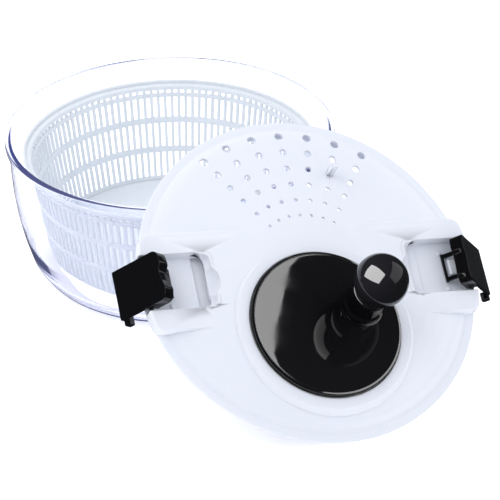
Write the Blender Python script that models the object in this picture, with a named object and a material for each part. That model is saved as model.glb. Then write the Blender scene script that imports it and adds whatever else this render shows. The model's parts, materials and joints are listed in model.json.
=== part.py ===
"""Salad spinner: clear bowl with its basket inside, and the crank lid leaning on the bowl's rim.

Row frame: origin at the centre of the bowl's flat foot, +Z up, metres.
Lid frame: origin on the lid's axis in the plane of its flange's top, +Z out of the lid's top,
+Y towards the drain holes, +X towards the right-hand latch.
"""

import math

import bmesh
import bpy
from mathutils import Matrix, Vector

MM = 0.001

# Overall sizes
BOWL_RIM_R = 125.0 * MM
BOWL_H = 112.7 * MM
BOWL_WALL = 2.2 * MM
LID_R = 125.0 * MM

# Bowl
BOWL_LIP_H = 5.2 * MM
BOWL_LIP_W = 5.0 * MM
BOWL_FOOT_R = 92.0 * MM
PIN_R = 4.0 * MM
PIN_TOP = 30.0 * MM

# Basket
BASKET_GAP = 10.4 * MM
BASKET_TOP = BOWL_H - 13.2 * MM
BASKET_FLOOR = 16.0 * MM
BASKET_WALL = 1.8 * MM
BASKET_SLOTS = 30
SLEEVE_WALL = 2.0 * MM
RUN_GAP = 0.3 * MM

# Lid pose: leaning on the rim of the bowl
LID_CENTRE = Vector((BOWL_RIM_R - 24.0 * MM, -BOWL_RIM_R - 38.2 * MM, BOWL_H - 34.0 * MM))
LID_TILT = math.radians(36.1)
LID_AZIMUTH = math.radians(30.3)
LID_YAW = math.radians(14.0)

# Lid shell
SHELL = 2.0 * MM
FLANGE_T = 2.4 * MM
RING_R = 118.9 * MM
RING_DEPTH = 10.4 * MM
BRIDGE_TOP = 8.0 * MM
BRIDGE_HALF = 37.0 * MM
EAR_R = 126.2 * MM
COLLAR_R = 63.8 * MM
COLLAR_TOP = 10.2 * MM
WELL_R = 57.0 * MM
WELL_FLOOR = 0.8 * MM
POCKET_IN = 76.0 * MM
LATCH_HALF = 18.6 * MM
POCKET_HALF = LATCH_HALF + 2.4 * MM
POCKET_FLOOR = -0.5 * MM
NOTCH_R = 12.7 * MM
NOTCH_X = 82.0 * MM
DOME = ((0.0, 11.0), (30.0, 10.4), (44.8, 9.4), (57.6, 7.9), (71.0, 6.6), (84.0, 5.6),
        (98.0, 4.8), (108.0, 4.1), (113.0, 3.3), (116.6, 1.9), (118.9, 0.3), (124.0, 0.0))
FULL_DOME = ((0.0, 8.25), (78.0, 8.2), (88.0, 7.9), (96.0, 7.1), (103.0, 5.8), (109.0, 4.1),
             (114.0, 2.2), (118.0, 0.45))
HOLE_ROWS = ((111.4, 3.1), (97.8, 2.7), (84.4, 2.3), (71.1, 1.9), (57.6, 1.5), (44.8, 1.1))
HOLE_COLUMNS = 7
HOLE_PITCH = math.radians(11.05)

# Crank and gears
CRANK_E = 41.0 * MM
CRANK_R = 55.4 * MM
CRANK_TOP = 13.6 * MM
CRANK_FLOOR = 11.3 * MM
CRANK_UNDER = 9.3 * MM
MODULE = 2.0 * MM
RING_TEETH = 51
PINION_TEETH = 10
PRESSURE = math.radians(20.0)
BACKLASH = 0.3 * MM
RING_TIP_R = 49.9 * MM
RING_ROOT_R = 53.2 * MM
RING_OUT_R = 54.9 * MM
PINION_TIP_R = 11.4 * MM
PINION_ROOT_R = 8.0 * MM
GEAR_LOW = 2.2 * MM
SHAFT_R = 3.0 * MM
BOLT_R = 3.0 * MM
BUSH_R = 5.0 * MM
KNOB_ARM = 31.9 * MM
KNOB_ANGLE = math.radians(21.8)
KNOB_R = 19.2 * MM
KNOB_H = 52.0 * MM

# Drive plate
DRIVE_LOW = -11.0 * MM
DRIVE_R = 110.5 * MM
DRIVE_LUG_LOW = -18.6 * MM
DRIVE_LUGS = 6
DRIVE_SLOTS = 12
DRIVE_SLOT_W = 6.0 * MM

# Latches
LATCH_X = 121.0 * MM
LATCH_H = 2.6 * MM
LATCH_D = 7.3 * MM
LATCH_IN = -19.5 * MM
LATCH_OUT = 23.0 * MM
LATCH_SKIN = 2.4 * MM
LATCH_REST_R = math.radians(48.0)
LATCH_REST_L = math.radians(56.5)
LOOP_S = -9.6 * MM
LOOP_D = -12.8 * MM
BAR_R = 1.5 * MM
BAR_HALF = LATCH_HALF + 4.8 * MM

FINE = 60
ROUND = 32

MAIN = bpy.data.collections.new("salad_spinner")
CUTTERS = bpy.data.collections.new("cutters")


def clear_scene():
    """Remove whatever the start-up file holds."""
    for obj in list(bpy.data.objects):
        bpy.data.objects.remove(obj, do_unlink=True)
    bpy.context.scene.collection.children.link(MAIN)
    bpy.context.scene.collection.children.link(CUTTERS)
    CUTTERS.hide_render = True


def material(name, colour, roughness, alpha=1.0):
    """One plain material for one piece."""
    mat = bpy.data.materials.new(name)
    mat.use_nodes = True
    shader = mat.node_tree.nodes["Principled BSDF"]
    shader.inputs["Base Color"].default_value = (*colour, 1.0)
    shader.inputs["Roughness"].default_value = roughness
    shader.inputs["Alpha"].default_value = alpha
    return mat


def add_object(name, bm, collection=MAIN):
    """Turn a bmesh into an object, with its normals made consistent."""
    bmesh.ops.remove_doubles(bm, verts=bm.verts, dist=1e-6)
    bmesh.ops.recalc_face_normals(bm, faces=bm.faces)
    mesh = bpy.data.meshes.new(name)
    bm.to_mesh(mesh)
    bm.free()
    obj = bpy.data.objects.new(name, mesh)
    collection.objects.link(obj)
    if collection is CUTTERS:
        obj.hide_render = True
        obj.display_type = "WIRE"
    return obj


def revolve(profile, steps=FINE):
    """Revolve a closed (radius, height) outline about Z."""
    bm = bmesh.new()
    rings = []
    for radius, height in profile:
        if radius < 1e-7:
            rings.append([bm.verts.new((0.0, 0.0, height))])
            continue
        ring = []
        for i in range(steps):
            a = 2.0 * math.pi * i / steps
            ring.append(bm.verts.new((radius * math.cos(a), radius * math.sin(a), height)))
        rings.append(ring)
    count = len(rings)
    for k in range(count):
        a, b = rings[k], rings[(k + 1) % count]
        if len(a) == 1 and len(b) == 1:
            continue
        for i in range(steps):
            j = (i + 1) % steps
            if len(a) == 1:
                bm.faces.new((a[0], b[j], b[i]))
            elif len(b) == 1:
                bm.faces.new((a[i], a[j], b[0]))
            else:
                bm.faces.new((a[i], a[j], b[j], b[i]))
    return bm


def prism(outline, low, high):
    """Extrude an (x, y) outline from one height to another."""
    bm = bmesh.new()
    bottom = [bm.verts.new((x, y, low)) for x, y in outline]
    top = [bm.verts.new((x, y, high)) for x, y in outline]
    bm.faces.new(bottom[::-1])
    bm.faces.new(top)
    for i in range(len(outline)):
        j = (i + 1) % len(outline)
        bm.faces.new((bottom[i], bottom[j], top[j], top[i]))
    return bm


def cylinder(radius, low, high, x=0.0, y=0.0, steps=ROUND, phase=0.0):
    """Upright cylinder."""
    outline = []
    for i in range(steps):
        a = 2.0 * math.pi * i / steps + phase
        outline.append((x + radius * math.cos(a), y + radius * math.sin(a)))
    return prism(outline, low, high)


def box(x0, x1, y0, y1, z0, z1):
    """Box between two corners."""
    return prism([(x0, y0), (x1, y0), (x1, y1), (x0, y1)], z0, z1)


def tube(inner, outer, low, high, steps=ROUND):
    """Round sleeve."""
    return revolve([(inner, low), (outer, low), (outer, high), (inner, high)], steps)


def rounded_box(x0, x1, y0, y1, radius, corners, steps=5):
    """Rectangle outline whose named corners are rounded: 0 low-low, then anticlockwise."""
    points = []
    centres = ((x0, y0, 180), (x1, y0, 270), (x1, y1, 0), (x0, y1, 90))
    for k, (x, y, start) in enumerate(centres):
        if k not in corners:
            points.append((x, y))
            continue
        cx = x + radius if x == x0 else x - radius
        cy = y + radius if y == y0 else y - radius
        for i in range(steps + 1):
            a = math.radians(start + 90.0 * i / steps)
            points.append((cx + radius * math.cos(a), cy + radius * math.sin(a)))
    return points


def boolean(target, tools, operation):
    """Apply exact booleans, one tool at a time."""
    for tool in tools:
        mod = target.modifiers.new("cut", "BOOLEAN")
        mod.operation = operation
        mod.solver = "EXACT"
        mod.object = tool
    depsgraph = bpy.context.evaluated_depsgraph_get()
    mesh = bpy.data.meshes.new_from_object(target.evaluated_get(depsgraph))
    target.modifiers.clear()
    target.data = mesh
    return target


def cutter(name, bm):
    """A hidden tool object."""
    return add_object("cut_" + name, bm, CUTTERS)


def dome_height(radius):
    """Height of the dome's outer face at a radius, in metres."""
    r = radius / MM
    for (r0, h0), (r1, h1) in zip(DOME, DOME[1:]):
        if r0 <= r <= r1:
            return (h0 + (h1 - h0) * (r - r0) / (r1 - r0)) * MM
    return 0.0


def lid_matrix():
    """Row-frame placement of the lid frame at rest."""
    turn = Matrix.Rotation(LID_AZIMUTH, 4, "Z") @ Matrix.Rotation(LID_TILT, 4, "X")
    return Matrix.Translation(LID_CENTRE) @ turn @ Matrix.Rotation(-LID_YAW, 4, "Z")


def finish(obj, parent, mat, location=(0.0, 0.0, 0.0)):
    """Give a piece its material and hang it on its parent."""
    obj.data.materials.clear()
    obj.data.materials.append(mat)
    obj.parent = parent
    obj.location = location
    return obj


def empty(name, parent=None, location=(0.0, 0.0, 0.0)):
    """Joint frame."""
    obj = bpy.data.objects.new(name, None)
    MAIN.objects.link(obj)
    obj.parent = parent
    obj.location = location
    return obj


def build_bowl():
    """Clear bowl: flat foot, rounded base, flared wall, outward lip and a centre pin."""
    wall = BOWL_WALL
    lip_low = BOWL_H - BOWL_LIP_H
    neck = BOWL_RIM_R - BOWL_LIP_W + wall
    outer = [(0.0, 0.0), (BOWL_FOOT_R, 0.0), (98.0 * MM, 1.4 * MM), (103.0 * MM, 5.0 * MM),
             (107.4 * MM, 10.6 * MM), (110.8 * MM, 18.5 * MM), (115.0 * MM, 35.2 * MM),
             (118.6 * MM, 53.0 * MM), (120.7 * MM, 71.0 * MM), (121.7 * MM, 88.0 * MM),
             (neck, lip_low), (BOWL_RIM_R, lip_low), (BOWL_RIM_R, BOWL_H - 0.8 * MM),
             (BOWL_RIM_R - 0.8 * MM, BOWL_H)]
    inner = [(BOWL_RIM_R - BOWL_LIP_W, BOWL_H), (BOWL_RIM_R - BOWL_LIP_W, lip_low),
             (121.7 * MM - wall, 88.0 * MM), (120.7 * MM - wall, 71.0 * MM),
             (118.6 * MM - wall, 53.0 * MM), (115.0 * MM - wall, 35.5 * MM),
             (110.8 * MM - wall, 19.2 * MM), (105.6 * MM, 12.0 * MM), (101.6 * MM, 7.0 * MM),
             (96.6 * MM, 4.0 * MM), (90.0 * MM, 3.0 * MM), (PIN_R + 5.0 * MM, 3.0 * MM),
             (PIN_R + 1.4 * MM, 12.0 * MM), (PIN_R, 12.0 * MM), (PIN_R, PIN_TOP - 1.0 * MM),
             (PIN_R - 1.0 * MM, PIN_TOP), (0.0, PIN_TOP)]
    return add_object("bowl", revolve(outer + inner))


def build_sleeve():
    """Loose sleeve that stands on the pin's shoulder and carries the basket."""
    inner = PIN_R + RUN_GAP
    outer = inner + SLEEVE_WALL
    low = 12.0 * MM + RUN_GAP
    high = PIN_TOP + 2.5 * MM
    profile = [(inner, low), (outer, low), (outer, high), (0.0, high),
               (0.0, PIN_TOP + RUN_GAP), (inner, PIN_TOP + RUN_GAP)]
    return add_object("pivot_sleeve", revolve(profile, ROUND))


BASKET_SIDE = ((94.5, 17.5, 0), (96.0, 21.0, 1), (99.6, 41.0, 0), (100.3, 45.5, 1),
               (103.4, 65.5, 0), (104.1, 70.0, 1), (106.6, 89.0, 0), (107.2, 93.5, 0))


def basket_height(height):
    """Stretch a height in the basket's side to suit the basket's top, in metres."""
    low = BASKET_SIDE[0][1]
    return (low + (height - low) * (BASKET_TOP / MM - low) / (99.5 - low)) * MM


def build_basket():
    """Slotted basket: three rows of upright slots between solid bands, and a domed hub."""
    bm = bmesh.new()
    columns = 2 * BASKET_SLOTS
    step = 2.0 * math.pi / columns
    grid = {}
    for side, offset in (("out", 0.0), ("in", -BASKET_WALL)):
        for row, (radius, height, _) in enumerate(BASKET_SIDE):
            for i in range(columns):
                a = step * (i + (0.12 if i % 2 else -0.12))
                r = radius * MM + offset
                vert = bm.verts.new((r * math.cos(a), r * math.sin(a),
                                     basket_height(height)))
                grid[side, row, i] = vert
    for row in range(len(BASKET_SIDE) - 1):
        slotted = BASKET_SIDE[row][2] == 1
        for i in range(columns):
            j = (i + 1) % columns
            out = [grid["out", row, i], grid["out", row, j],
                   grid["out", row + 1, j], grid["out", row + 1, i]]
            ins = [grid["in", row, i], grid["in", row, j],
                   grid["in", row + 1, j], grid["in", row + 1, i]]
            if slotted and i % 2 == 1:
                for a, b in ((0, 1), (1, 2), (2, 3), (3, 0)):
                    bm.faces.new((out[a], out[b], ins[b], ins[a]))
            else:
                bm.faces.new(out)
                bm.faces.new(ins[::-1])
    last = len(BASKET_SIDE) - 1
    rim = []
    top_profile = ((112.0, 94.0), (112.0, 99.5), (109.6, 99.5), (109.6, 96.0),
                   (107.2 - BASKET_WALL / MM, 95.5))
    for radius, height in top_profile:
        ring = []
        for i in range(columns):
            a = step * (i + (0.12 if i % 2 else -0.12))
            ring.append(bm.verts.new((radius * MM * math.cos(a), radius * MM * math.sin(a),
                                      basket_height(height))))
        rim.append(ring)
    chain = [[grid["out", last, i] for i in range(columns)]] + rim
    chain.append([grid["in", last, i] for i in range(columns)])
    hub_in = PIN_R + RUN_GAP + SLEEVE_WALL + RUN_GAP
    hub_top = PIN_TOP + 2.5 * MM + RUN_GAP
    floor = [(92.0 * MM, 16.2 * MM), (88.0 * MM, BASKET_FLOOR), (20.0 * MM, BASKET_FLOOR),
             (14.0 * MM, 14.0 * MM), (hub_in, 14.0 * MM), (hub_in, hub_top), (0.0, hub_top),
             (0.0, hub_top + 2.0 * MM), (hub_in + 1.5 * MM, hub_top + 2.0 * MM),
             (hub_in + 2.4 * MM, hub_top), (13.0 * MM, 20.0 * MM), (21.0 * MM, 17.8 * MM),
             (87.0 * MM, 17.8 * MM), (91.0 * MM, 18.2 * MM)]
    rings = []
    for radius, height in floor:
        if radius == 0.0:
            rings.append([bm.verts.new((0.0, 0.0, height))])
            continue
        ring = []
        for i in range(columns):
            a = step * (i + (0.12 if i % 2 else -0.12))
            ring.append(bm.verts.new((radius * math.cos(a), radius * math.sin(a), height)))
        rings.append(ring)
    base = [[grid["out", 0, i] for i in range(columns)]] + rings
    base.append([grid["in", 0, i] for i in range(columns)])
    for path in (chain, base):
        for a, b in zip(path, path[1:]):
            if len(a) == 1 and len(b) == 1:
                continue
            for i in range(columns):
                j = (i + 1) % columns
                if len(a) == 1:
                    bm.faces.new((a[0], b[j], b[i]))
                elif len(b) == 1:
                    bm.faces.new((a[i], a[j], b[0]))
                else:
                    bm.faces.new((a[i], a[j], b[j], b[i]))
    return add_object("basket", bm)


def lid_mass(inset):
    """Solid of the lid's outer form, or with an inset the solid of the room inside it."""
    if inset == 0.0:
        profile = [(r * MM, h * MM) for r, h in DOME]
        profile += [(LID_R, -0.7 * MM), (LID_R, -FLANGE_T), (RING_R, -FLANGE_T),
                    (RING_R, -RING_DEPTH), (0.0, -RING_DEPTH)]
    else:
        profile = [(r * MM, h * MM - inset) for r, h in DOME if r < 112.0]
        profile += [(112.0 * MM, 1.0 * MM), (115.4 * MM, -0.6 * MM), (117.0 * MM, -2.6 * MM),
                    (117.0 * MM, -RING_DEPTH - MM), (0.0, -RING_DEPTH - MM)]
    tag = "in" if inset else "out"
    low = 0.25 * MM - FLANGE_T if inset == 0.0 else -RING_DEPTH - 1.6 * MM
    mass = add_object("lid_" + tag, revolve(profile))
    limit = EAR_R if inset == 0.0 else 116.3 * MM
    half = BRIDGE_HALF - inset
    bridge = cutter("bridge_" + tag, box(-130 * MM, 130 * MM, -half, half, low,
                                         BRIDGE_TOP - inset))
    disc = cutter("bridge_limit_" + tag, cylinder(limit, low - MM, 20 * MM, steps=FINE))
    boolean(bridge, [disc], "INTERSECT")
    low_collar = 0.0 if inset == 0.0 else -RING_DEPTH - 2.2 * MM
    collar = cutter("collar_" + tag, cylinder(COLLAR_R - inset, low_collar, COLLAR_TOP - inset,
                                              y=-CRANK_E, steps=72))
    boolean(mass, [bridge, collar], "UNION")
    fuller = [(r * MM, h * MM - inset) for r, h in FULL_DOME if inset == 0.0 or r < 112.0]
    edge = fuller[-1][0]
    base = -1.3 * MM if inset == 0.0 else -RING_DEPTH - 2.9 * MM
    half_dome = cutter("half_dome_" + tag, revolve(fuller + [(edge, base), (0.0, base)]))
    half_limit = cutter("half_limit_" + tag, box(-130 * MM, 130 * MM, -130 * MM, -20 * MM,
                                                 -30 * MM, 30 * MM))
    boolean(half_dome, [half_limit], "INTERSECT")
    boolean(mass, [half_dome], "UNION")
    cuts = []
    floor_drop = inset
    well_out = WELL_R + inset
    cuts.append(cutter("well_" + tag, cylinder(well_out, WELL_FLOOR - floor_drop, 30 * MM,
                                               y=-CRANK_E, steps=72)))
    for side in (-1, 1):
        half_p = POCKET_HALF + inset
        x_in = POCKET_IN - inset
        outline = rounded_box(x_in, 140 * MM, -half_p, half_p, 8 * MM, (0, 3))
        if side < 0:
            outline = [(-x, y) for x, y in outline][::-1]
        cuts.append(cutter("pocket_%s_%d" % (tag, side),
                           prism(outline, POCKET_FLOOR - floor_drop, 30 * MM)))
        notch_low = 3.0 * MM - floor_drop
        cuts.append(cutter("notch_%s_%d" % (tag, side),
                           cylinder(NOTCH_R + inset, notch_low, 30 * MM, x=side * NOTCH_X,
                                    steps=ROUND)))
    boolean(mass, cuts, "DIFFERENCE")
    return mass


def build_lid():
    """Lid shell: dome, bridge, collar, crank well, latch pockets, bosses, lugs and holes."""
    shell = lid_mass(0.0)
    room = lid_mass(SHELL)
    CUTTERS.objects.link(room)
    MAIN.objects.unlink(room)
    room.name = "cut_room"
    room.hide_render = True
    room.display_type = "WIRE"
    boolean(shell, [room], "DIFFERENCE")
    adds = [cutter("axis_boss", cylinder(BUSH_R + 2.2 * MM, -6.2 * MM, 0.5 * WELL_FLOOR)),
            cutter("crank_boss", cylinder(BUSH_R + 2.2 * MM, -4.0 * MM, 2.4 * MM, y=-CRANK_E))]
    ear_bores = []
    for side in (-1, 1):
        x0, x1 = sorted((side * 107.8 * MM, side * 113.6 * MM))
        adds.append(cutter("lug_%d" % side, box(x0, x1, -6 * MM, 6 * MM, POCKET_FLOOR - MM,
                                                4.0 * MM)))
        bore = cutter("ear_bore_%d" % side,
                      along_y(disc_outline(BAR_R + RUN_GAP, 16, side * LATCH_X, LATCH_H),
                              -BAR_HALF - RUN_GAP, BAR_HALF + RUN_GAP))
        ear_bores.append(bore)
    boolean(shell, adds, "UNION")
    cuts = [cutter("axis_bore", cylinder(BUSH_R + 0.06 * MM, -20 * MM, 20 * MM, steps=24)),
            cutter("crank_bore", cylinder(BUSH_R + 0.06 * MM, -20 * MM, 20 * MM, y=-CRANK_E,
                                          steps=24))]
    cuts += ear_bores
    for side in (-1, 1):
        x0, x1 = sorted((side * 125.3 * MM, side * 140 * MM))
        cuts.append(cutter("ear_floor_%d" % side,
                           box(x0, x1, -POCKET_HALF + 0.2 * MM, POCKET_HALF - 0.2 * MM,
                               -9 * MM, 1.0 * MM)))
    for row, (radius, hole) in enumerate(HOLE_ROWS):
        for k in range(HOLE_COLUMNS):
            a = HOLE_PITCH * (k - (HOLE_COLUMNS - 1) / 2)
            x = radius * MM * math.sin(a)
            y = radius * MM * math.cos(a)
            cuts.append(cutter("hole_%d_%d" % (row, k),
                               cylinder(hole * MM, -5 * MM, 20 * MM, x, y, steps=8,
                                        phase=0.3)))
    boolean(shell, cuts, "DIFFERENCE")
    shell.name = "lid_shell"
    return shell


def involute(angle):
    """Involute function."""
    return math.tan(angle) - angle


def gear_outline(teeth, low, high, slack, points):
    """Outline of gear teeth, or with negative slack of the spaces of an internal ring."""
    pitch_r = MODULE * teeth / 2
    base_r = pitch_r * math.cos(PRESSURE)
    half = math.pi / (2 * teeth) - slack / (2 * pitch_r) + involute(PRESSURE)
    start = max(base_r, low)
    radii = [start + (high - start) * i / (points - 1) for i in range(points)]
    flank = []
    if low < base_r:
        flank.append((low, half))
    for r in radii:
        flank.append((r, half - involute(math.acos(min(1.0, base_r / r)))))
    outline = []
    for i in range(teeth):
        centre = math.pi / 2 + 2 * math.pi * i / teeth
        for r, a in flank:
            outline.append((r * math.cos(centre - a), r * math.sin(centre - a)))
        for r, a in reversed(flank):
            outline.append((r * math.cos(centre + a), r * math.sin(centre + a)))
    return outline


def build_ring_gear():
    """Internal gear that hangs under the crank disc."""
    inner = gear_outline(RING_TEETH, RING_TIP_R, RING_ROOT_R, -BACKLASH, 2)
    high = CRANK_UNDER - 0.3 * MM
    ring = add_object("ring_gear", cylinder(RING_OUT_R, GEAR_LOW, high, steps=102))
    boolean(ring, [cutter("ring_teeth", prism(inner, GEAR_LOW - MM, high + MM))], "DIFFERENCE")
    return ring


def build_pinion():
    """Small gear in one piece with the shaft that passes down through the lid."""
    teeth = gear_outline(PINION_TEETH, PINION_ROOT_R, PINION_TIP_R, BACKLASH, 3)
    gear = add_object("pinion", prism(teeth, GEAR_LOW, CRANK_UNDER - 0.5 * MM))
    boolean(gear, [cutter("shaft", cylinder(SHAFT_R, DRIVE_LOW + 0.6 * MM, 5 * MM, steps=24))],
            "UNION")
    boolean(gear, [cutter("shaft_tap", cylinder(1.3 * MM, DRIVE_LOW - MM, -2 * MM, steps=16))],
            "DIFFERENCE")
    return gear


def build_crank_disc():
    """Dished disc with a turned-up rim, a hub below and a round seat for the knob."""
    profile = [(0.0, CRANK_FLOOR), (49.6 * MM, CRANK_FLOOR), (52.6 * MM, CRANK_TOP - 0.6 * MM),
               (53.6 * MM, CRANK_TOP), (54.8 * MM, CRANK_TOP - 0.3 * MM),
               (CRANK_R, CRANK_TOP - 1.4 * MM), (CRANK_R, CRANK_UNDER), (7 * MM, CRANK_UNDER),
               (7 * MM, 2.9 * MM), (BOLT_R + 0.05 * MM, 2.9 * MM),
               (BOLT_R + 0.05 * MM, 9.0 * MM), (0.0, 9.0 * MM)]
    disc = add_object("crank_disc", revolve(profile))
    x = KNOB_ARM * math.cos(KNOB_ANGLE)
    y = KNOB_ARM * math.sin(KNOB_ANGLE)
    seat = cutter("seat", cylinder(16 * MM, 10.4 * MM, CRANK_FLOOR + 0.9 * MM, x, y, 48))
    boolean(disc, [seat], "UNION")
    hole = cutter("post_hole", cylinder(3.05 * MM, 5 * MM, 30 * MM, x, y, 24))
    boolean(disc, [hole], "DIFFERENCE")
    return disc


def build_knob():
    """Ball on a short ringed skirt, with a blind bore for its post."""
    low = 33.5 * MM
    profile = [(3.3 * MM, low), (13.2 * MM, low), (14.1 * MM, low + 0.8 * MM),
               (14.1 * MM, low + 2.2 * MM), (13.2 * MM, low + 3.0 * MM)]
    start = math.asin((low + 5.6 * MM - KNOB_H) / KNOB_R)
    for i in range(11):
        a = start + (math.pi / 2 - start) * i / 10
        profile.append((KNOB_R * math.cos(a) if i < 10 else 0.0, KNOB_H + KNOB_R * math.sin(a)))
    profile += [(0.0, 63.0 * MM), (3.3 * MM, 63.0 * MM)]
    return add_object("knob", revolve(profile, 36))


def build_knob_collar():
    """Ringed foot between the disc and the ball."""
    low = CRANK_FLOOR + 0.9 * MM + 0.05 * MM
    profile = [(3.05 * MM, low), (14.6 * MM, low), (14.6 * MM, 14.0 * MM),
               (12.6 * MM, 16.5 * MM), (12.0 * MM, 29.0 * MM), (13.4 * MM, 30.0 * MM),
               (13.4 * MM, 33.2 * MM), (3.05 * MM, 33.2 * MM)]
    return add_object("knob_collar", revolve(profile, 32))


def along_y(outline, y0, y1):
    """Prism whose (x, z) outline is swept from y0 to y1."""
    bm = prism(outline, -y1, -y0)
    bm.transform(Matrix.Rotation(math.pi / 2, 4, "X"))
    return bm


def disc_outline(radius, steps, x=0.0, y=0.0):
    """Points of a circle."""
    return [(x + radius * math.cos(2 * math.pi * i / steps),
             y + radius * math.sin(2 * math.pi * i / steps)) for i in range(steps)]


def build_latch(name, side):
    """Latch lever in its own frame: hinge axis on Y, outer face up, outer end at +X."""
    skin_low = LATCH_D - LATCH_SKIN
    block_low = -2.3 * MM
    outline = rounded_box(LATCH_IN, LATCH_OUT, -LATCH_HALF, LATCH_HALF, 7 * MM, (0, 3))
    lever = add_object(name, prism(outline, block_low, LATCH_D))
    room = cutter(name + "_room", box(LATCH_IN + 7 * MM, 60 * MM, -LATCH_HALF + 2.4 * MM,
                                      LATCH_HALF - 2.4 * MM, -9 * MM, skin_low))
    step = cutter(name + "_step", box(-3.2 * MM, 70 * MM, -40 * MM, 40 * MM, -8 * MM, skin_low))
    scallop = cutter(name + "_scallop", cylinder(14 * MM, -9 * MM, 30 * MM,
                                                 x=LATCH_IN - 11.0 * MM, y=1.5 * MM))
    boolean(lever, [room, step, scallop], "DIFFERENCE")
    barrel = disc_outline(2.5 * MM, 20)
    neck = [(-2.0 * MM, 0.3 * MM), (2.0 * MM, 0.3 * MM), (2.0 * MM, skin_low + MM),
            (-2.0 * MM, skin_low + MM)]
    adds = [cutter(name + "_barrel", along_y(barrel, 1.2 * MM - LATCH_HALF,
                                                LATCH_HALF - 1.2 * MM)),
            cutter(name + "_neck", along_y(neck, 1.6 * MM - LATCH_HALF,
                                              LATCH_HALF - 1.6 * MM)),
            cutter(name + "_hook", box(11.0 * MM, 14.2 * MM, -12 * MM, 12 * MM, 1.4 * MM,
                                       skin_low + MM)),
            cutter(name + "_foot", box(15.5 * MM, 20.5 * MM, -LATCH_HALF - 4.8 * MM,
                                       1.6 * MM - LATCH_HALF, 1.0 * MM,
                                       LATCH_D - 0.8 * MM))]
    for y in (-1, 1):
        y0, y1 = sorted((y * 7.5 * MM, y * 10.5 * MM))
        adds.append(cutter(name + "_arm_%d" % y, box(LOOP_S - 1.1 * MM, LOOP_S + 1.1 * MM, y0, y1,
                                                     LOOP_D, skin_low + MM)))
    adds.append(cutter(name + "_loop", along_y(disc_outline(1.2 * MM, 12, LOOP_S, LOOP_D),
                                               -10.9 * MM, 10.9 * MM)))
    boolean(lever, adds, "UNION")
    hole = cutter(name + "_hole", along_y(disc_outline(BAR_R + 0.05 * MM, 16), -30 * MM, 30 * MM))
    boolean(lever, [hole], "DIFFERENCE")
    if side < 0:
        lever.data.transform(Matrix.Scale(-1.0, 4, Vector((1.0, 0.0, 0.0))))
        lever.data.flip_normals()
    return lever


def build_bar(name):
    """Hinge bar along Y."""
    return add_object(name, along_y(disc_outline(BAR_R, 16), -BAR_HALF, BAR_HALF))


def build_drive_plate():
    """Slotted plate under the lid whose lugs catch the basket's rim."""
    plate = add_object("drive_plate", revolve([(0.0, DRIVE_LOW), (DRIVE_R, DRIVE_LOW),
                                               (DRIVE_R, -8.4 * MM), (9 * MM, -8.4 * MM),
                                               (9 * MM, -6.5 * MM), (0.0, -6.5 * MM)], 72))
    adds = []
    for i in range(DRIVE_LUGS):
        lug = cutter("lug_%d_d" % i, box(106.5 * MM, 109.5 * MM, -5 * MM, 5 * MM, DRIVE_LUG_LOW,
                                         DRIVE_LOW + MM))
        lug.data.transform(Matrix.Rotation(2 * math.pi * (i + 0.5) / DRIVE_LUGS, 4, "Z"))
        adds.append(lug)
    boolean(plate, adds, "UNION")
    cuts = [cutter("drive_bore", cylinder(SHAFT_R + 0.05 * MM, -30 * MM, 10 * MM, steps=24))]
    for i in range(DRIVE_SLOTS):
        slot = cutter("drive_slot_%d" % i, box(34 * MM, 94 * MM, -DRIVE_SLOT_W / 2,
                                               DRIVE_SLOT_W / 2, -20 * MM, 0.0))
        slot.data.transform(Matrix.Rotation(2 * math.pi * (i + 0.5) / DRIVE_SLOTS, 4, "Z"))
        cuts.append(slot)
    boolean(plate, cuts, "DIFFERENCE")
    return plate


def screw(name, shank_r, head_r, head_low, head_high, top):
    """Pan-head screw pointing up."""
    profile = [(0.0, head_low), (head_r - 0.6 * MM, head_low), (head_r, head_low + 0.6 * MM),
               (head_r, head_high), (shank_r, head_high), (shank_r, top), (0.0, top)]
    return add_object(name, revolve(profile, 24))


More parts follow.
